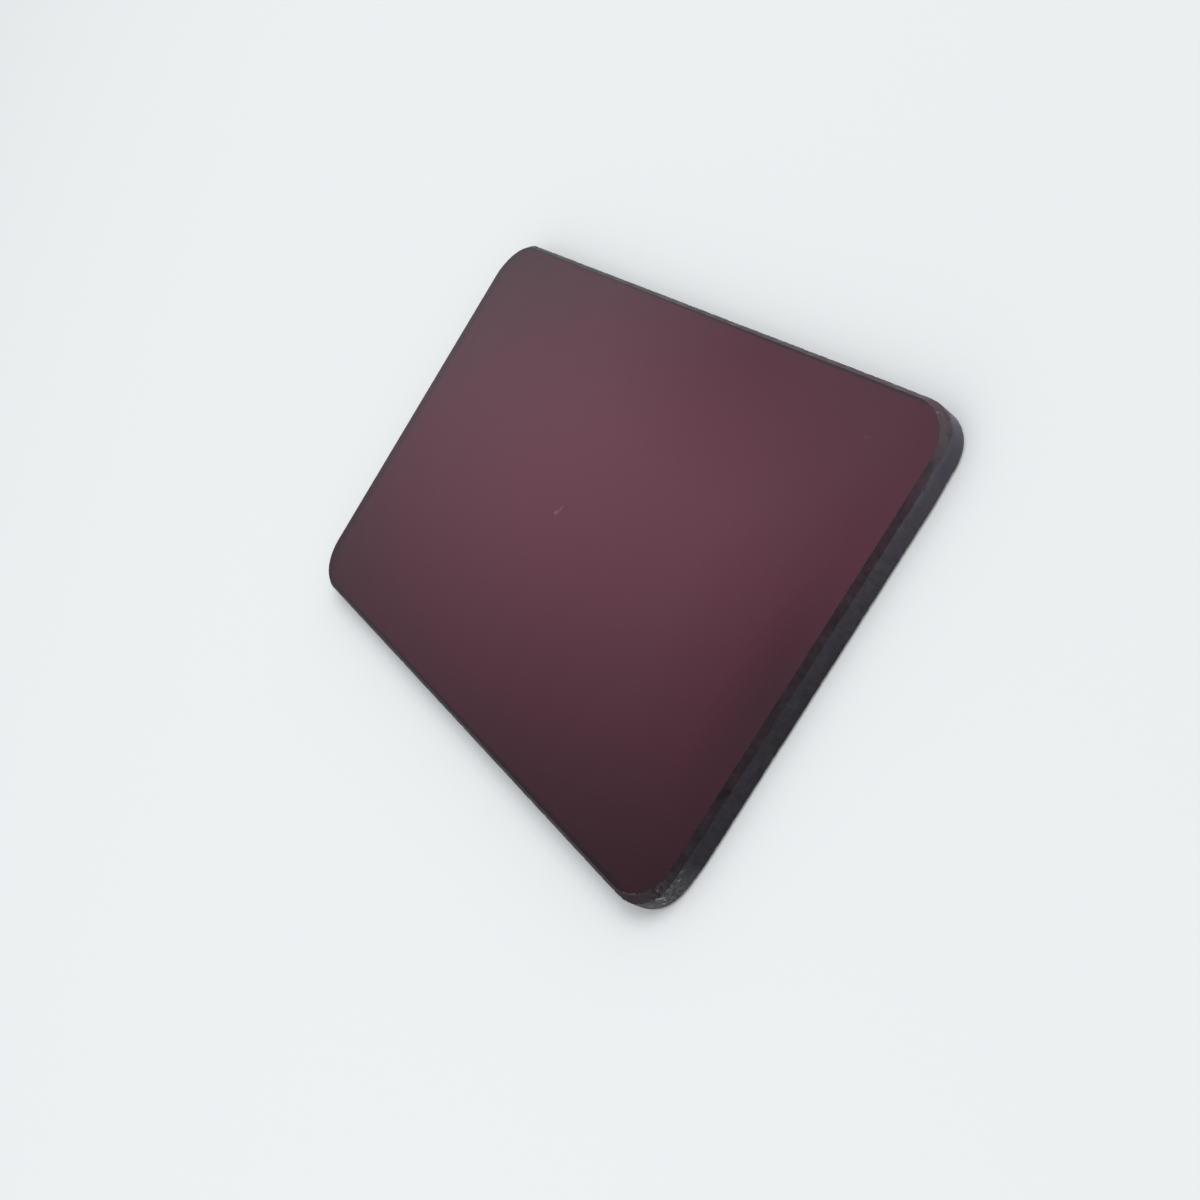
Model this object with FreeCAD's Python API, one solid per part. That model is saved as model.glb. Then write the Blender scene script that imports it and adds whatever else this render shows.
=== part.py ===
import FreeCAD, Part
import os

# Coloured glass filter: one flat rectangular plate of absorbing glass.
# Lengths are in millimetres. The plate lies flat on its back face at z = 0, with its long side along X
# and its short side along Y, and the origin is at the middle of the back face.

# Plate
plate_length = 80.0
plate_width = 50.0
plate_thickness = 3.0
corner_radius = 4.8

# Front arris, the bevel ground by hand along the edge of the upper face.
# It is wider on the two short sides and round the corners than on the two long sides.
front_arris_depth = 0.5
front_arris_on_short_sides = 0.65
front_arris_on_long_sides = 0.45
front_face_corner_radius = 4.5

# Back arris, a finer bevel of one width along the edge of the lower face
back_arris_depth = 0.3
back_arris_width = 0.35
back_face_corner_radius = 4.45


def rounded_outline(length, width, radius, height):
    """Closed rectangular outline with round corners, centred on the Z axis in the plane z = height."""
    centre_x = length / 2 - radius
    centre_y = width / 2 - radius
    corners = [(centre_x, centre_y), (-centre_x, centre_y), (-centre_x, -centre_y), (centre_x, -centre_y)]
    quarter_turn = 90.0
    up = FreeCAD.Vector(0, 0, 1)
    arcs = []
    for index, (x, y) in enumerate(corners):
        start_angle = index * quarter_turn
        centre = FreeCAD.Vector(x, y, height)
        arcs.append(Part.makeCircle(radius, centre, up, start_angle, start_angle + quarter_turn))
    edges = []
    for index, arc in enumerate(arcs):
        next_arc = arcs[(index + 1) % len(arcs)]
        side = Part.makeLine(arc.Vertexes[-1].Point, next_arc.Vertexes[0].Point)
        edges.extend([arc, side])
    return Part.Wire(edges)


def plate_outline(height):
    """Outline of the ground edge, which is the full size of the plate."""
    return rounded_outline(plate_length, plate_width, corner_radius, height)


def front_face_outline():
    """Edge of the polished front face, set in by the front arris on each side."""
    face_length = plate_length - 2 * front_arris_on_short_sides
    face_width = plate_width - 2 * front_arris_on_long_sides
    return rounded_outline(face_length, face_width, front_face_corner_radius, plate_thickness)


def back_face_outline():
    """Edge of the polished back face, set in by the back arris on each side."""
    face_length = plate_length - 2 * back_arris_width
    face_width = plate_width - 2 * back_arris_width
    return rounded_outline(face_length, face_width, back_face_corner_radius, 0)


def ground_edge():
    """Middle layer of the plate, with the upright ground edge between the two arrises."""
    edge_height = plate_thickness - front_arris_depth - back_arris_depth
    layer = Part.Face(plate_outline(back_arris_depth))
    return layer.extrude(FreeCAD.Vector(0, 0, edge_height))


def front_arris():
    """Upper layer, which narrows in straight lines from the ground edge to the front face."""
    crest = plate_outline(plate_thickness - front_arris_depth)
    return Part.makeLoft([crest, front_face_outline()], True, True)


def back_arris():
    """Lower layer, which narrows in straight lines from the ground edge to the back face."""
    crest = plate_outline(back_arris_depth)
    return Part.makeLoft([back_face_outline(), crest], True, True)


def filter_glass():
    """The whole plate as one piece of glass."""
    return ground_edge().fuse([front_arris(), back_arris()]).removeSplitter()


os.makedirs("parts", exist_ok=True)
filter_glass().exportStep("parts/filter_glass.step")
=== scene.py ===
# %% [markdown]
# # A coloured glass filter
# The object is one plate of dark wine-red glass, cut to a rectangle with round corners. Its two faces are
# polished, and everything round them is ground by hand: the upright edge, and the arris, a narrow bevel
# that takes off the sharp edge along each face. The plate lies on its back face, the way it would come to
# rest. The frame brings the measured plate. Its box is kept, because the finished piece has to stay
# inside it.

# %% The measured plate
import math
import random

import bmesh
import bpy
from mathutils import Matrix, Vector, kdtree, noise


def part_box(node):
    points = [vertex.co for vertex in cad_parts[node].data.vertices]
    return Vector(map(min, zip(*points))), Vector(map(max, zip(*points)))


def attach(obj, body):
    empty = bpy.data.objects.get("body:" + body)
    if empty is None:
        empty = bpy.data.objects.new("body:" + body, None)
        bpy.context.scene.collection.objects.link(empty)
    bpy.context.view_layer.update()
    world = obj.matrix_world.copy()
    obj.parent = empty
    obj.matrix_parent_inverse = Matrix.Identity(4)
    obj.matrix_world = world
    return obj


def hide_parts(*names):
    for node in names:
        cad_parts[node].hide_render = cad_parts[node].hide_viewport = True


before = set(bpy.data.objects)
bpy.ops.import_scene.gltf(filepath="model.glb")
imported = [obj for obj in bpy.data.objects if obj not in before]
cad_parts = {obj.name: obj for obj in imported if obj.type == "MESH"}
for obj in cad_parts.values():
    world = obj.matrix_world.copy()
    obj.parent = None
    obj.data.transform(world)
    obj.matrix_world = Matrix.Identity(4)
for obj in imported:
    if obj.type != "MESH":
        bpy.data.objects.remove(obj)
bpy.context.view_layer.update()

mm = 0.001
plate_low, plate_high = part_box("filter_glass")
plate_size = plate_high - plate_low
print("plate in mm:", [round(side / mm, 3) for side in plate_size])

# %% [markdown]
# ## The blank
# A saw cuts the blank and a grinding wheel rounds its corners. Here a cube is stretched to the plate's
# outline and to the height of the upright edge between the two arrises, and its four upright edges are
# bevelled round. The caps come off for now, so that the wall can be cut into a fine grid: hand grinding
# leaves small uneven places, and only a mesh with cells of about a tenth of a millimetre can show them as
# real shape. One corner was rounded more than the others, so the points there are drawn in to a larger
# radius.

# %% Blank with round corners
corner_radius = 4.8 * mm
front_arris_depth = 0.5 * mm
back_arris_depth = 0.3 * mm
corner_segments = 72
column_width = 0.105 * mm
row_height = 0.12 * mm
grid_corners = 4
tiny = 1e-7


def is_upright(edge):
    """True for an edge that runs straight up."""
    first, second = (vert.co for vert in edge.verts)
    return (first.xy - second.xy).length < tiny


edge_height = plate_size.z - front_arris_depth - back_arris_depth
plate = bmesh.new()
bmesh.ops.create_cube(plate, size=1.0)
bmesh.ops.scale(plate, vec=(plate_size.x, plate_size.y, edge_height), verts=plate.verts)
bmesh.ops.translate(plate, vec=(0, 0, back_arris_depth + edge_height / 2), verts=plate.verts)
bmesh.ops.bevel(
    plate,
    geom=[edge for edge in plate.edges if is_upright(edge)],
    affect="EDGES",
    offset=corner_radius,
    segments=corner_segments,
    profile=0.5,
    material=-1,
)
caps = [face for face in plate.faces if len(face.verts) > grid_corners]
bmesh.ops.delete(plate, geom=caps, context="FACES_ONLY")
print("corner segments:", corner_segments, "wall faces:", len(plate.faces))

# %% Wall cut into a fine grid


def cut_along(edges, spacing):
    """Cuts edges of one length into pieces of about that spacing."""
    cuts = round(edges[0].calc_length() / spacing) - 1
    bmesh.ops.subdivide_edges(plate, edges=edges, cuts=cuts, use_grid_fill=True)


long_edges = [edge for edge in plate.edges if edge.calc_length() > plate_size.y]
cut_along(long_edges, column_width)
short_edges = [edge for edge in plate.edges if edge.calc_length() > plate_size.y / 2]
cut_along(short_edges, column_width)
cut_along([edge for edge in plate.edges if is_upright(edge)], row_height)
print("wall faces after cutting:", len(plate.faces))

# %% One corner rounded more than the others
wide_radius = 5.1 * mm
wide_centre = Vector((-plate_size.x / 2 + wide_radius, plate_size.y / 2 - wide_radius))
moved = 0
for vert in plate.verts:
    reach = vert.co.xy - wide_centre
    if reach.x < 0 < reach.y and reach.length > wide_radius:
        vert.co.xy = wide_centre + reach.normalized() * wide_radius
        moved += 1
print("points drawn in at the rounder corner:", moved)

# %% [markdown]
# ## The two arrises
# The arris is ground after the outline, a few strokes for each side, so it isn't the same width
# everywhere. On the front face it is wider along the short sides than along the long ones, and widest
# round the corners. The rim of the wall is extruded, lifted by the arris's depth and scaled in by its
# width. The last loop is closed with one flat face, which stays perfectly plane as polished glass has to
# be.

# %% Rims drawn in to the faces
front_arris_on_short_sides = 0.6 * mm
front_arris_on_long_sides = 0.45 * mm
back_arris_width = 0.35 * mm
arris_row = 0.1 * mm


def make_arris(height, rise, short_side_width, long_side_width):
    """Extrudes the rim at that height into a bevel and closes it with a flat face. Returns that face."""
    rim = [edge for edge in plate.edges if edge.is_boundary and abs(edge.verts[0].co.z - height) < tiny]
    made = bmesh.ops.extrude_edge_only(plate, edges=rim)["geom"]
    verts = [item for item in made if isinstance(item, bmesh.types.BMVert)]
    bmesh.ops.translate(plate, vec=(0, 0, rise), verts=verts)
    narrower = Vector((1 - 2 * short_side_width / plate_size.x, 1 - 2 * long_side_width / plate_size.y, 1))
    bmesh.ops.scale(plate, vec=narrower, verts=verts)
    ring = set(verts)
    slopes = [edge for vert in verts for edge in vert.link_edges if edge.other_vert(vert) not in ring]
    loop = [edge for edge in made if isinstance(edge, bmesh.types.BMEdge) and edge.is_boundary]
    face = bmesh.ops.edgeloop_fill(plate, edges=loop)["faces"][0]
    slope_length = math.hypot(rise, long_side_width)
    cuts = round(slope_length / arris_row) - 1
    bmesh.ops.subdivide_edges(plate, edges=slopes, cuts=cuts, use_grid_fill=True)
    return face


front_face = make_arris(
    plate_size.z - front_arris_depth,
    front_arris_depth,
    front_arris_on_short_sides,
    front_arris_on_long_sides,
)
back_face = make_arris(back_arris_depth, -back_arris_depth, back_arris_width, back_arris_width)
bmesh.ops.recalc_face_normals(plate, faces=plate.faces)
print("front face points up:", front_face.normal.z > 0, "back face points down:", back_face.normal.z < 0)

# %% [markdown]
# ## Traces of hand grinding
# The arris line wanders a little, because the plate was held against the wheel by hand. The crest between
# arris and upright edge is nibbled by tiny splinters, and so is the rim of the polished face, but less.
# That is made by moving points level, towards the middle of the plate, by a smooth random amount. The
# arris is also ground deeper round the corners, which draws the crest down there, and wider along one
# short side. In a few places beside the corners the wheel took off more than elsewhere, and in one it
# left a little. The polished faces stay plane, because none of their points leaves its height.

# %% Uneven arris line and nibbled crest
corner_centre = Vector((plate_size.x / 2 - corner_radius, plate_size.y / 2 - corner_radius))
wander_long = 0.03 * mm
wander_short = 0.015 * mm
long_wave = 9.0 * mm
short_wave = 0.8 * mm
nibble_wave = 0.24 * mm
crest_nibble = 0.13 * mm
rim_nibble = 0.07 * mm
nibble_reach = 0.22 * mm
least_noise = 0.12
crest_height = plate_size.z - front_arris_depth


def inward(point):
    """Level direction from a point on the edge into the plate."""
    beyond = Vector((abs(point.x) - corner_centre.x, abs(point.y) - corner_centre.y))
    if min(beyond) <= 0:
        beyond = Vector((1, 0)) if beyond.x > beyond.y else Vector((0, 1))
    beyond.normalize()
    return Vector((-math.copysign(beyond.x, point.x), -math.copysign(beyond.y, point.y), 0))


def wander(point):
    """A smooth random amount that changes slowly along the plate, with a finer part on top."""
    slow = noise.noise(point / long_wave)
    quick = noise.noise(point / short_wave)
    return abs(wander_long * slow + wander_short * quick)


def nearness(point, height):
    """1 at that height, falling to 0 a little above and below it."""
    return max(0.0, 1 - abs(point.z - height) / nibble_reach)


def corner_share(point):
    """0 along the straight sides, rising to 1 halfway round a corner."""
    along = Vector((abs(point.x) - corner_centre.x, abs(point.y) - corner_centre.y))
    if min(along) <= 0:
        return 0.0
    return math.sin(2 * math.atan2(along.y, along.x))


def nibble(point):
    """Splinters out of the two crests, most of all at the corners, and smaller ones out of the rims."""
    at_crest = nearness(point, crest_height) + nearness(point, back_arris_depth)
    at_rim = nearness(point, plate_size.z) + nearness(point, 0)
    splinter = max(0.0, noise.noise(point / nibble_wave) - least_noise)
    return splinter * (crest_nibble * at_crest * (1 + corner_share(point)) + rim_nibble * at_rim)


shifts = [(vert, inward(vert.co) * (wander(vert.co) + nibble(vert.co))) for vert in plate.verts]
print("deepest shift in mm:", round(max(shift.length for vert, shift in shifts) / mm, 3))

# %% Where the wheel took off more
crest_verts = [vert for vert in plate.verts if abs(vert.co.z - crest_height) < tiny]
deeper_at_corners = 0.28 * mm
wider_arris = 0.25 * mm
wider_towards_far_end = 0.05 / 18
fade_power = 4

# x, y and reach of each place, how deep the wall is cut, and how far the crest is drawn down, all in mm
taken_off = [
    (39.9, -21.0, 2.1, 0.21, 0.0),
    (36.6, -24.8, 1.2, -0.12, 0.0),
    (39.9, 20.4, 2.0, 0.18, 0.0),
    (40.0, 14.0, 7.0, 0.03, 0.0),
    (34.3, 25.0, 2.6, 0.0, 0.11),
]
lows = []
for vert in plate.verts:
    point = vert.co
    level = inward(point)
    down_from_crest = max(0.0, crest_height - point.z) / (crest_height - back_arris_depth)
    up_from_crest = max(0.0, point.z - crest_height) / front_arris_depth
    share = max(0.0, 1 - down_from_crest - up_from_crest)
    below_rim = 1 - (point.z / plate_size.z) ** fade_power
    depth = 0.0
    drop = deeper_at_corners * corner_share(point)
    for x, y, reach, more_depth, more_drop in taken_off:
        away = (point.xy / mm - Vector((x, y))).length / reach
        depth += more_depth * mm * math.exp(-away * away)
        drop += more_drop * mm * math.exp(-away * away)
    widening = (wider_arris + wider_towards_far_end * point.y) * up_from_crest * max(0.0, level.x)
    move = level * depth * max(0.0, below_rim)
    lows.append((vert, move + Vector((widening, 0, -drop * share))))
print("deepest drop of the crest in mm:", round(max(-shift.z for vert, shift in lows) / mm, 3))

# %% Points moved and kept inside the measured box
for vert, shift in shifts + lows:
    vert.co += shift
half_x, half_y = plate_size.x / 2, plate_size.y / 2
for vert in plate.verts:
    vert.co.x = min(max(vert.co.x, -half_x), half_x)
    vert.co.y = min(max(vert.co.y, -half_y), half_y)
print("lowest point of the front crest in mm:", round(min(vert.co.z for vert in crest_verts) / mm, 3))

# %% [markdown]
# ## Flats and chips
# At one corner the wheel has left a short flat. It is made as the wheel makes it: whatever stands beyond
# a plane is pushed back onto the plane. A chip is a shallow scoop with the shape of a ball, which is how
# glass splinters. Old chips lie at random along the front crest, closest together round the corners,
# where the plate gets knocked. The fresh ones that stand out are placed one by one, most of them on the
# nearest corner. A search tree finds the few points that each scoop reaches, and a number on each point
# remembers how fresh the chip is, because a fresh chip is paler than the ground glass round it.

# %% Flat at one corner
on_flat = Vector((37.2 * mm, 24.48 * mm, crest_height))
flat_normal = Vector((0.42, 0.907, 0.04)).normalized()
level = flat_normal.xy.to_3d()
ground_off = 0
for vert in plate.verts:
    beyond = (vert.co - on_flat).dot(flat_normal)
    if beyond > 0 and tiny < vert.co.z < plate_size.z - tiny:
        vert.co -= level * (beyond / level.length_squared)
        ground_off += 1
print("points ground off by the flat:", ground_off)

# %% Search tree and scoop
rim_gain = 1.6

# the places on the crest come first, because a new layer makes every point anew
crest = [vert.co.copy() for vert in crest_verts]
chip_layer = plate.verts.layers.float.new("chipped")
plate.verts.ensure_lookup_table()
search = kdtree.KDTree(len(plate.verts))
for vert in plate.verts:
    search.insert(vert.co, vert.index)
search.balance()


def chip(spot, outside, radius, freshness):
    """Scoops out a ball-shaped chip, whose middle lies a little outside the glass."""
    centre = spot + outside
    for place, index, distance in search.find_range(spot, radius):
        vert = plate.verts[index]
        fullness = min(1.0, rim_gain * (1 - (distance / radius) ** 2))
        vert[chip_layer] = max(vert[chip_layer], freshness * fullness)
        reach = vert.co - centre
        if reach.length < radius and tiny < vert.co.z < plate_size.z - tiny:
            vert.co = centre + reach.normalized() * radius


print("points in the search tree:", len(plate.verts))

# %% Old chips at random places
chip_seed = 7
side_chips = 90
corner_chips = 40

# radii in mm, and how far the middle of a scoop lies outside and above its spot, in radii
smallest_radius = 0.09
largest_radius = 0.22
middle_outside = 0.6
lowest_middle = -0.2
highest_middle = 0.6
most_freshness = 0.12

corner_crest = [
    point for point in crest if abs(point.x) > corner_centre.x and abs(point.y) > corner_centre.y
]
chance = random.Random(chip_seed)
chip_spots = chance.sample(crest, side_chips) + chance.sample(corner_crest, corner_chips)
for spot in chip_spots:
    radius = chance.uniform(smallest_radius, largest_radius) * mm
    upward = Vector((0, 0, radius * chance.uniform(lowest_middle, highest_middle)))
    outside = -inward(spot) * radius * middle_outside + upward
    chip(spot, outside, radius, chance.uniform(0.0, most_freshness))
print("chips:", len(chip_spots), "points:", len(plate.verts), "faces:", len(plate.faces))

# %% Fresh chips that stand out
fresh_outside = 0.7

# x, y, z and radius of each chip in mm, and how fresh it is
fresh_chips = [
    (36.20, -24.25, 3.00, 0.18, 0.9),
    (36.50, -24.17, 3.00, 0.13, 0.7),
    (36.75, -24.06, 3.00, 0.13, 0.7),
    (37.00, -23.93, 3.00, 0.14, 0.8),
    (37.25, -23.78, 3.00, 0.13, 0.8),
    (37.50, -23.62, 3.00, 0.12, 0.8),
    (37.90, -23.32, 3.00, 0.12, 0.7),
    (39.20, -22.88, 2.18, 0.17, 0.9),
    (39.34, -22.66, 1.92, 0.18, 1.0),
    (39.46, -22.48, 1.68, 0.18, 1.0),
    (39.30, -22.70, 1.35, 0.15, 0.8),
    (39.00, -23.17, 0.95, 0.20, 0.8),
    (38.20, -23.97, 1.15, 0.22, 0.8),
    (39.75, -21.60, 2.15, 0.20, 0.35),
    (40.02, -20.45, 1.85, 0.14, 0.5),
    (40.05, -19.55, 2.25, 0.17, 0.35),
    (39.12, -22.13, 2.78, 0.11, 0.8),
    (37.15, 24.07, 3.00, 0.18, 0.45),
    (37.60, 23.95, 2.80, 0.12, 0.3),
    (34.90, 24.60, 2.98, 0.12, 0.5),
]
for x, y, z, radius, freshness in fresh_chips:
    spot = search.find(Vector((x, y, z)) * mm)[0]
    chip(spot, -inward(spot) * radius * fresh_outside * mm, radius * mm, freshness)
print("fresh chips:", len(fresh_chips))

# %% [markdown]
# ## Marking what is ground
# One piece of glass carries three finishes. Each face gets two numbers that the material reads: one is 0
# on the polished faces and 1 on everything ground, and the other is 1 on the arrises, whose faces slope.
# The seam round a polished face is also marked sharp, so that the face mirrors like a plane right up to
# its rim. So is every edge with a real fold in it, such as the crests and the rims of chips, because
# smooth shading would round them off.

# %% Ground and polished faces
sharp_fold = math.radians(32)
least_slope = 0.35
plate.normal_update()
ground_layer = plate.faces.layers.float.new("ground")
arris_layer = plate.faces.layers.float.new("arris")
for edge in plate.edges:
    edge.smooth = edge.calc_face_angle() < sharp_fold
for face in plate.faces:
    is_polished = len(face.verts) > grid_corners
    face[ground_layer] = 0.0 if is_polished else 1.0
    face[arris_layer] = 1.0 if abs(face.normal.z) > least_slope else 0.0
    face.smooth = True
    for edge in face.edges:
        edge.smooth = edge.smooth and not is_polished
print("polished faces:", sum(1 for face in plate.faces if face[ground_layer] == 0.0))

# %% Finished piece
filter_mesh = bpy.data.meshes.new("filter_plate")
plate.to_mesh(filter_mesh)
plate.free()
filter_plate = bpy.data.objects.new("filter_plate", filter_mesh)
bpy.context.scene.collection.objects.link(filter_plate)
print("triangles:", sum(len(face.vertices) - 2 for face in filter_mesh.polygons))

# %% [markdown]
# ## The glass
# Filter glass is coloured all through: green dies out within the first millimetre, blue soon after, and
# only deep red is left. Part of the colour is written on the surface, as the Base Color that tints
# whatever passes through, and the rest in the volume, which darkens every long way through the glass.
#
# The ground parts get a second set of values, picked by the number on each face. They are rough, they
# have a fine grain in the bump, and a small part of the light that meets them is scattered straight back
# as bluish grey. That skin is what makes ground glass look matt. A scatter could be one plain value, but
# real ground glass is uneven, so noise gives it cloudy patches, faint streaks across the edge and a fine
# speckle.

# %% Node helpers


def add_node(tree, kind, inputs=None, **settings):
    """Adds a node, with its settings, and sets or links its named inputs."""
    made = tree.nodes.new(kind)
    for name, value in settings.items():
        setattr(made, name, value)
    for name, value in (inputs or {}).items():
        if isinstance(value, bpy.types.NodeSocket):
            tree.links.new(value, made.inputs[name])
        else:
            made.inputs[name].default_value = value
    return made


def math_node(tree, operation, first, second):
    """Output of one Math node."""
    return add_node(tree, "ShaderNodeMath", {0: first, 1: second}, operation=operation).outputs["Value"]


def spread(tree, value, low, high, new_low, new_high):
    """Stretches a number from one range to another."""
    limits = {"Value": value, "From Min": low, "From Max": high, "To Min": new_low, "To Max": new_high}
    return add_node(tree, "ShaderNodeMapRange", limits).outputs["Result"]


def pick(tree, share, first, second):
    """The first number where share is 0 and the second where it is 1."""
    inputs = {"Factor": share, "A": first, "B": second}
    return add_node(tree, "ShaderNodeMix", inputs, data_type="FLOAT").outputs["Result"]


def blend(tree, share, first, second):
    """The first colour where share is 0 and the second where it is 1."""
    mixer = add_node(tree, "ShaderNodeMix", data_type="RGBA")
    # the node has sockets of every kind, and those for colours are 6 and 7 going in and 2 coming out
    for index, value in ((0, share), (6, first), (7, second)):
        if isinstance(value, bpy.types.NodeSocket):
            tree.links.new(value, mixer.inputs[index])
        else:
            mixer.inputs[index].default_value = value
    return mixer.outputs[2]


print("node helpers:", [helper.__name__ for helper in (add_node, math_node, spread, pick, blend)])

# %% Glass material and its masks
glass = bpy.data.materials.new("wine_red_glass")
glass.use_nodes = True
tree = glass.node_tree
tree.nodes.clear()
place = add_node(tree, "ShaderNodeTexCoord").outputs["Object"]
ground = add_node(tree, "ShaderNodeAttribute", attribute_name="ground").outputs["Fac"]
arris = add_node(tree, "ShaderNodeAttribute", attribute_name="arris").outputs["Fac"]
chipped = add_node(tree, "ShaderNodeAttribute", attribute_name="chipped").outputs["Fac"]
print("numbers on the mesh:", [layer.name for layer in filter_mesh.attributes if layer.name[0] != "."])

# %% Grain, patches and streaks of the ground parts


def cloud(vector, scale, detail):
    """Noise whose features are about one metre divided by the scale."""
    inputs = {"Vector": vector, "Scale": scale, "Detail": detail, "Roughness": 0.6}
    return add_node(tree, "ShaderNodeTexNoise", inputs).outputs["Fac"]


grain_scale = 8000.0
spot_scale = 3600.0
streak_scale = 2600.0
patch_scale = 900.0
tone_scale = 380.0
streak_share = 0.25
upright_stretch = (1.0, 1.0, 0.22)

stretched = add_node(tree, "ShaderNodeVectorMath", {0: place, 1: upright_stretch}, operation="MULTIPLY")
grain = cloud(place, grain_scale, 3.0)
patches = cloud(place, patch_scale, 5.0)
streaks = cloud(stretched.outputs["Vector"], streak_scale, 3.0)
mottle = pick(tree, streak_share, patches, streaks)
tone = cloud(place, tone_scale, 2.0)
glints = spread(tree, grain, 0.60, 0.78, 0.0, 1.0)
fine_spots = cloud(place, spot_scale, 3.0)
scales = (grain_scale, spot_scale, streak_scale, patch_scale, tone_scale)
print("size of each noise in mm:", [round(1 / scale / mm, 2) for scale in scales])

# %% [markdown]
# ## Marks on the polished face
# A polished face that has been handled carries a few specks: a short bent mark near the middle, a fine
# broken line to the left of it and a pair of dots near a corner. Each one is a soft spot in the object's
# own coordinates, stretched and turned to length, so it stays in its place on the glass from every side.
# Wiping has also left very faint smears, which only change how sharply the glass mirrors.

# %% Specks and smears


def soft_spot(tree, vector, centre, reach, turn=0.0):
    """1 at the centre, falling evenly to 0 at its reach along each axis."""
    inputs = {"Vector": vector, "Location": centre, "Rotation": (0, 0, turn), "Scale": reach}
    laid = add_node(tree, "ShaderNodeMapping", inputs, vector_type="TEXTURE").outputs["Vector"]
    spot = add_node(tree, "ShaderNodeTexGradient", {"Vector": laid}, gradient_type="SPHERICAL")
    return spot.outputs["Fac"]


def speck(x, y, length, width, degrees, strength):
    """A soft long spot on the front face, 1 at its middle, times its strength."""
    centre = (x * mm, y * mm, plate_size.z)
    reach = (length / 2 * mm, width / 2 * mm, 1 * mm)
    spot = soft_spot(tree, place, centre, reach, math.radians(degrees))
    return math_node(tree, "MULTIPLY", spot, strength)


# x, y, length and width of each speck in mm, its turn in degrees and its strength
speck_list = [
    (-1.15, -0.84, 0.90, 0.55, 35, 0.9),
    (-0.80, -0.25, 1.20, 0.46, 72, 0.6),
    (-1.48, -0.72, 0.80, 0.40, -50, 0.25),
    (-23.6, -8.1, 0.80, 0.40, 100, 0.16),
    (-23.8, -7.3, 0.80, 0.40, 105, 0.16),
    (-23.95, -6.4, 0.80, 0.40, 95, 0.16),
    (31.8, 19.75, 0.50, 0.45, 0, 0.25),
    (32.3, 20.0, 0.40, 0.35, 0, 0.18),
]
specks = 0.0
for one in speck_list:
    specks = math_node(tree, "ADD", specks, speck(*one))
smear_scale = 90.0
clean_roughness = 0.004
smeared_roughness = 0.03
smears = spread(tree, cloud(place, smear_scale, 4.0), 0.35, 0.75, clean_roughness, smeared_roughness)
print("specks on the polished face:", len(speck_list))

# %% [markdown]
# ## The skin of the ground parts
# Two numbers drive the skin. The scatter says how much light comes straight back from it, and the
# paleness picks between a dark and a pale colour. Both follow the mottle. The scatter is larger at the
# near corner, at the far corner and in a hazy band under the far end of the crest. A fresh chip adds the
# most. The speckle is strongest at the near corner. The arris gets a warmer, darker colour than the wall
# and half its scatter: painted shade for the dim light overhead that the flatter arris faces, on top of
# the red glass that shows below it. So every colour comes in a pair that the arris number picks from. All
# of it could be painted by hand, but soft spots in the object's own coordinates need no image and stay
# sharp at any size.

# %% How much the ground parts scatter
# the arris keeps half the scatter of the wall: painted shade for the dim light overhead that it faces
shaded_arris_scatter = 0.5
chip_paleness = 0.6
chip_scatter = 0.35
dark_spots = 0.62
near_dark_spots = 0.3

near_corner = soft_spot(tree, place, Vector((39.4, -22.4, 1.5)) * mm, Vector((3.2, 4.2, 4.2)) * mm)
near_corner = spread(tree, near_corner, 0.0, 0.55, 0.0, 1.0)
far_corner = soft_spot(tree, place, Vector((38.1, 22.9, 2.7)) * mm, Vector((8.5, 8.5, 8.5)) * mm)
crest_haze = soft_spot(tree, place, Vector((40.0, 20.0, 2.4)) * mm, Vector((0.9, 12.0, 0.6)) * mm)
paleness = spread(tree, mottle, 0.36, 0.66, 0.1, 0.6)
scatter = spread(tree, mottle, 0.34, 0.68, 0.02, 0.065)
scatter = math_node(tree, "MULTIPLY", scatter, pick(tree, arris, 1.0, shaded_arris_scatter))

# each place that stands out, how much paler it is, and how much more it scatters
for extra, paler, more_scatter in (
    (glints, 0.3, 0.0),
    (near_corner, 0.0, 0.09),
    (far_corner, 0.0, 0.085),
    (crest_haze, 0.3, 0.06),
):
    paleness = math_node(tree, "ADD", paleness, math_node(tree, "MULTIPLY", extra, paler))
    scatter = math_node(tree, "ADD", scatter, math_node(tree, "MULTIPLY", extra, more_scatter))
least_speckle = pick(tree, near_corner, dark_spots, near_dark_spots)
most_speckle = math_node(tree, "SUBTRACT", 2.0, least_speckle)
speckle = spread(tree, fine_spots, 0.41, 0.59, least_speckle, most_speckle)
scatter = math_node(tree, "MULTIPLY", scatter, speckle)
paleness = math_node(tree, "ADD", paleness, math_node(tree, "MULTIPLY", chipped, chip_paleness))
scatter = math_node(tree, "ADD", scatter, math_node(tree, "MULTIPLY", chipped, chip_scatter))
print("nodes so far:", len(tree.nodes))

# %% Colours of the ground parts
chip_colour = (0.62, 0.58, 0.66, 1)
bluer = spread(tree, tone, 0.4, 0.6, 0.0, 1.0)
pale_edge = blend(tree, bluer, (0.45, 0.37, 0.52, 1), (0.35, 0.34, 0.72, 1))
edge_colour = blend(tree, paleness, (0.045, 0.03, 0.085, 1), pale_edge)
# the arris colours are darker than the wall's: painted shade for the dim light overhead, besides the red
# glass below
shaded_arris_colour = blend(tree, paleness, (0.022, 0.009, 0.036, 1), (0.18, 0.12, 0.20, 1))
near_colour = blend(tree, arris, (0.35, 0.35, 0.37, 1), (0.17, 0.14, 0.18, 1))
far_colour = blend(tree, arris, (0.13, 0.13, 0.20, 1), (0.28, 0.26, 0.29, 1))
ground_colour = blend(tree, arris, edge_colour, shaded_arris_colour)
for share, colour in (
    (near_corner, near_colour),
    (far_corner, far_colour),
    (chipped, chip_colour),
):
    ground_colour = blend(tree, share, ground_colour, colour)
print("colour of a fresh chip:", chip_colour[:3])

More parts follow.
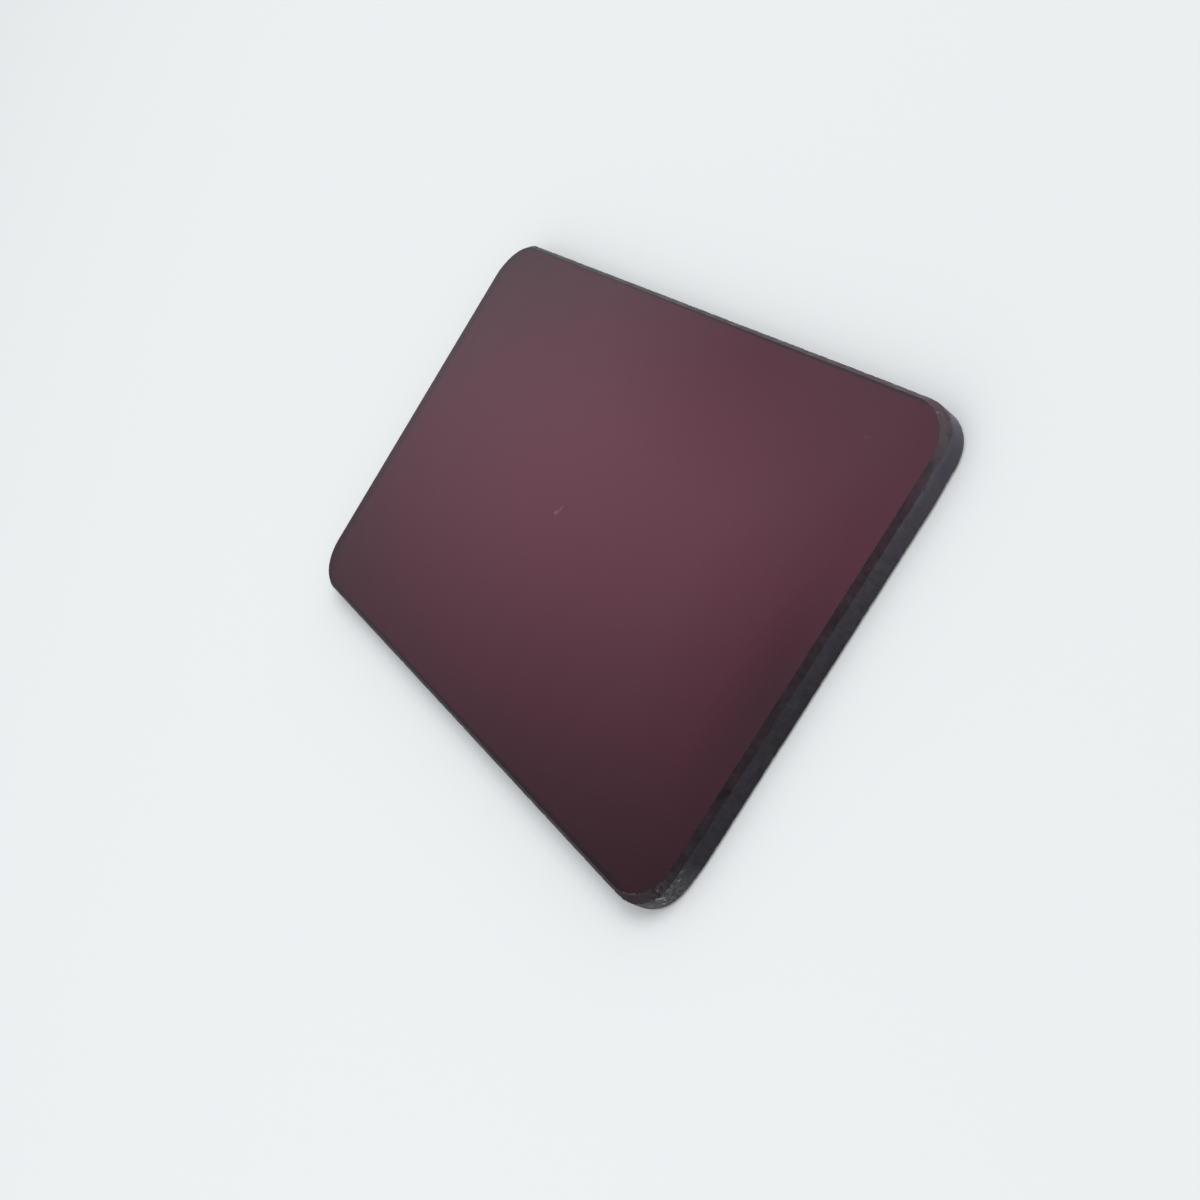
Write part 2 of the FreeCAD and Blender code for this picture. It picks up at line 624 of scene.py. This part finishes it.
# %% [markdown]
# ## Surface and body
# One Principled surface carries both finishes, and the number on each face picks between them. The
# polished face is almost smooth and lets everything through, tinted by a deep red. The ground parts are
# rough, with grain and mottle in the bump. The body is an absorbing volume, which a surface colour alone
# couldn't replace: it makes the glass darker where the light travels further through it.

# %% Surface and body of the glass
red_tint = (0.22, 0.025, 0.10, 1)
speck_colour = (0.95, 0.85, 0.88, 1)
speck_scatter = 0.12
glass_bends_light = 1.52
body_colour = (0.704, 0.071, 0.544, 1)
body_density = 700.0
bump_depth = 0.04 * mm
mottle_share = 0.35

face_colour = blend(tree, specks, red_tint, speck_colour)
scatter = pick(tree, ground, math_node(tree, "MULTIPLY", specks, speck_scatter), scatter)
roughness = pick(tree, ground, smears, spread(tree, patches, 0.3, 0.7, 0.34, 0.58))
bump_height = math_node(tree, "MULTIPLY", pick(tree, mottle_share, grain, mottle), ground)
bump_inputs = {"Height": bump_height, "Strength": 0.8, "Distance": bump_depth}
bump = add_node(tree, "ShaderNodeBump", bump_inputs)
surface = add_node(
    tree,
    "ShaderNodeBsdfPrincipled",
    {
        "Base Color": blend(tree, ground, face_colour, ground_colour),
        "Roughness": roughness,
        "IOR": glass_bends_light,
        "Transmission Weight": math_node(tree, "SUBTRACT", 1.0, scatter),
        "Normal": bump.outputs["Normal"],
    },
)
body_inputs = {"Color": body_colour, "Density": body_density}
body = add_node(tree, "ShaderNodeVolumeAbsorption", body_inputs)
add_node(
    tree,
    "ShaderNodeOutputMaterial",
    {"Surface": surface.outputs["BSDF"], "Volume": body.outputs["Volume"]},
)
filter_mesh.materials.append(glass)
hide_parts("filter_glass")
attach(filter_plate, "root")
print("nodes in the glass:", len(tree.nodes))

# %% [markdown]
# ## Floor
# The plate lies on a pale floor that reaches past every edge of the view. For the camera the floor is
# matt paper, lit by the lamp and the surroundings and shaded by the plate. A picture of the floor in the
# glass could come from the same paper, but the paper right under the plate is dark, and the glass would
# be black. Light Path tells which kind of ray asks. So rays that came through the glass meet a glowing
# floor instead, with a soft pool of light under the plate that fades towards its edges and is dimmer near
# one end. Mirrored rays meet a glow too, weaker on the near side and in the shade beside the wall.

# %% Floor sheet
floor_colour = (0.85, 0.865, 0.87, 1)
floor_gap = 0.02 * mm
floor_half = 3.0

floor_form = bmesh.new()
bmesh.ops.create_grid(floor_form, x_segments=1, y_segments=1, size=floor_half)
bmesh.ops.translate(floor_form, vec=(0, 0, -floor_gap), verts=floor_form.verts)
floor_mesh = bpy.data.meshes.new("floor")
floor_form.to_mesh(floor_mesh)
floor_form.free()
floor = bpy.data.objects.new("floor", floor_mesh)
bpy.context.scene.collection.objects.link(floor)
print("floor side in m:", 2 * floor_half)

# %% Pool of light for rays that came through the glass
pool_centre = (-4.9 * mm, 4.4 * mm, 0)
pool_turn = (0, 0, 0.17)
pool_reach = (61.5 * mm, 31.0 * mm, 1)
pool_strength = 1.077
light_under_edge = 0.3
light_at_dim_end = 0.6

paper = bpy.data.materials.new("pale_floor")
paper.use_nodes = True
tree = paper.node_tree
tree.nodes.clear()
rays = add_node(tree, "ShaderNodeLightPath")
through_glass = rays.outputs["Is Transmission Ray"]
in_glass = math_node(tree, "MAXIMUM", rays.outputs["Is Glossy Ray"], through_glass)
floor_place = add_node(tree, "ShaderNodeTexCoord").outputs["Object"]
pool_inputs = {
    "Vector": floor_place,
    "Location": pool_centre,
    "Rotation": pool_turn,
    "Scale": pool_reach,
}
pool_place = add_node(tree, "ShaderNodeMapping", pool_inputs, vector_type="TEXTURE").outputs["Vector"]
from_centre = add_node(tree, "ShaderNodeVectorMath", {0: pool_place}, operation="LENGTH").outputs["Value"]
falling = math_node(tree, "POWER", math.exp(-1), math_node(tree, "POWER", from_centre, 2.0))
pool = math_node(tree, "MULTIPLY", falling, pool_strength)
floor_parts = add_node(tree, "ShaderNodeSeparateXYZ", {"Vector": floor_place})
under_edge = spread(tree, floor_parts.outputs["X"], 37.8 * mm, 38.8 * mm, 1.0, light_under_edge)
pool = math_node(tree, "MULTIPLY", pool, under_edge)
dim_end = soft_spot(tree, floor_place, (37.0 * mm, -3.5 * mm, 0), (6.0 * mm, 14.0 * mm, 1))
pool = math_node(tree, "MULTIPLY", pool, spread(tree, dim_end, 0.0, 1.0, 1.0, light_at_dim_end))
print("pool of light in mm:", [round(2 * reach / mm) for reach in pool_reach[:2]])

# %% Mirrored glow and paper
mirrored_colour = (0.86, 0.85, 0.91, 1)
pool_colour = (0.86, 0.88, 0.82, 1)
light_beside_plate = 0.5

across = spread(tree, floor_parts.outputs["Y"], -30 * mm, 30 * mm, 0.0, 1.0)
by_width = add_node(tree, "ShaderNodeValToRGB", {"Fac": across})
shares = [(0.12, 0.44), (0.20, 0.45), (0.42, 0.55), (0.63, 0.80), (0.78, 0.98), (0.92, 0.92)]
for width, share in shares:
    element = by_width.color_ramp.elements.new(width)
    element.color = (share, share, share, 1)
by_width.color_ramp.elements[0].color = (0.42, 0.42, 0.42, 1)
by_width.color_ramp.elements[-1].color = (0.92, 0.92, 0.92, 1)
glow_colour = blend(tree, through_glass, mirrored_colour, pool_colour)
beside_plate = soft_spot(tree, floor_place, (40.0 * mm, 0, 0), (2.2 * mm, 24.0 * mm, 1))
shaded = spread(tree, beside_plate, 0.0, 1.0, 1.0, light_beside_plate)
mirrored_floor = math_node(tree, "MULTIPLY", by_width.outputs["Color"], shaded)
glow_strength = pick(tree, through_glass, mirrored_floor, pool)
glow = add_node(tree, "ShaderNodeEmission", {"Color": glow_colour, "Strength": glow_strength})
matt = add_node(tree, "ShaderNodeBsdfDiffuse", {"Color": floor_colour, "Roughness": 0.6})
mixed = add_node(
    tree,
    "ShaderNodeMixShader",
    {"Fac": in_glass, 1: matt.outputs["BSDF"], 2: glow.outputs["Emission"]},
)
add_node(tree, "ShaderNodeOutputMaterial", {"Surface": mixed.outputs["Shader"]})
paper.cycles.emission_sampling = "NONE"
floor_mesh.materials.append(paper)
print("nodes in the floor:", len(tree.nodes))

# %% [markdown]
# ## Surroundings and lamp
# An even world lights everything from all round, and one wide lamp gives it a direction. A mirror needs
# something to show, so mirrored rays see a studio that is brightest halfway up, dimmer overhead and
# dimmer towards one side, with two soft darker patches in it. That is what makes the polished face go
# from a misty red to a deep one. Boxes and curtains round the plate could do the same, but gradients are
# simpler to tune and cast no shadows.

# %% World and its direction
world = bpy.data.worlds.new("studio")
bpy.context.scene.world = world
world.use_nodes = True
tree = world.node_tree
tree.nodes.clear()
rays = add_node(tree, "ShaderNodeLightPath")
in_glass = math_node(tree, "MAXIMUM", rays.outputs["Is Glossy Ray"], rays.outputs["Is Transmission Ray"])
direction = add_node(tree, "ShaderNodeTexCoord").outputs["Generated"]
parts = add_node(tree, "ShaderNodeSeparateXYZ", {"Vector": direction})
print("world:", world.name)

# %% Mirrored studio
side_limits = {
    "Value": parts.outputs["Y"],
    "From Min": -0.30,
    "From Max": 0.05,
    "To Min": 0.36,
    "To Max": 0.92,
}
side_map = add_node(tree, "ShaderNodeMapRange", side_limits, interpolation_type="SMOOTHSTEP")
side_share = side_map.outputs["Result"]
by_height = add_node(tree, "ShaderNodeValToRGB", {"Fac": parts.outputs["Z"]})
ramp = by_height.color_ramp
ramp.interpolation = "EASE"
ramp.elements[0].position = 0.0
ramp.elements[0].color = (0.95, 0.95, 0.95, 1)
ramp.elements[1].position = 1.0
ramp.elements[1].color = (0.28, 0.28, 0.28, 1)
heights = [(0.38, 0.68), (0.60, 0.99), (0.66, 1.0), (0.70, 0.94), (0.735, 0.83), (0.88, 0.42)]
for height, share in heights:
    element = ramp.elements.new(height)
    element.color = (share, share, share, 1)
end_share = spread(tree, parts.outputs["X"], -0.05, 0.45, 1.0, 0.35)
side_share = math_node(tree, "MULTIPLY", side_share, end_share)
mirrored_studio = math_node(tree, "MULTIPLY", side_share, by_height.outputs["Color"])
print("steps of light by height:", len(ramp.elements))

# %% Dim patches and the world's light
even_light = 0.79
world_colour = (0.97, 0.99, 1.0, 1)
light_in_patch = 0.78

# direction and reach of each patch
dim_patches = [
    ((-0.76, 0.14, 0.63), (0.12, 0.12, 0.12)),
    ((-0.675, -0.04, 0.732), (0.09, 0.16, 0.09)),
]
for centre, reach in dim_patches:
    dim_patch = soft_spot(tree, direction, centre, reach)
    dimming = spread(tree, dim_patch, 0.0, 1.0, 1.0, light_in_patch)
    mirrored_studio = math_node(tree, "MULTIPLY", mirrored_studio, dimming)
strength = pick(tree, in_glass, even_light, mirrored_studio)
background = add_node(tree, "ShaderNodeBackground", {"Color": world_colour, "Strength": strength})
add_node(tree, "ShaderNodeOutputWorld", {"Surface": background.outputs["Background"]})
print("nodes in the world:", len(tree.nodes))

# %% Lamp
lamp_data = bpy.data.lights.new("soft_light", "AREA")
lamp_data.shape = "DISK"
lamp_data.size = 0.6
lamp_data.energy = 3.0
lamp = bpy.data.objects.new("soft_light", lamp_data)
bpy.context.scene.collection.objects.link(lamp)
lamp.location = (0.25, 0.55, 0.75)
lamp.rotation_mode = "QUATERNION"
lamp.rotation_quaternion = (-lamp.location).to_track_quat("-Z", "Y")
print("lamp is away from the plate in m:", round(lamp.location.length, 2))

# %% [markdown]
# ## Camera
# The picture was taken from close by, looking down on the front face at about 39 degrees above its plane,
# with a short side nearest to the camera. The place and the two directions come from fitting the plate's
# corners. The view transform is Standard, so that a colour shows as it is written.

# %% Camera
camera_place = Vector((112.79, 5.20, 85.05)) * mm
look_direction = Vector((-0.770554, -0.081718, -0.632114))
picture_up = Vector((-0.386919, 0.848076, 0.362023))
camera_data = bpy.data.cameras.new("camera")
camera_data.lens = 39.593
camera_data.sensor_width = 36.0
camera_data.clip_start = 0.01
camera = bpy.data.objects.new("camera", camera_data)
bpy.context.scene.collection.objects.link(camera)
right = look_direction.cross(picture_up).normalized()
true_up = right.cross(look_direction).normalized()
turn = Matrix((right, true_up, -look_direction.normalized())).transposed()
camera.matrix_world = Matrix.Translation(camera_place) @ turn.to_4x4()
bpy.context.scene.camera = camera
bpy.context.scene.view_settings.view_transform = "Standard"
print("camera is away from the plate in mm:", round(camera_place.length / mm, 1))
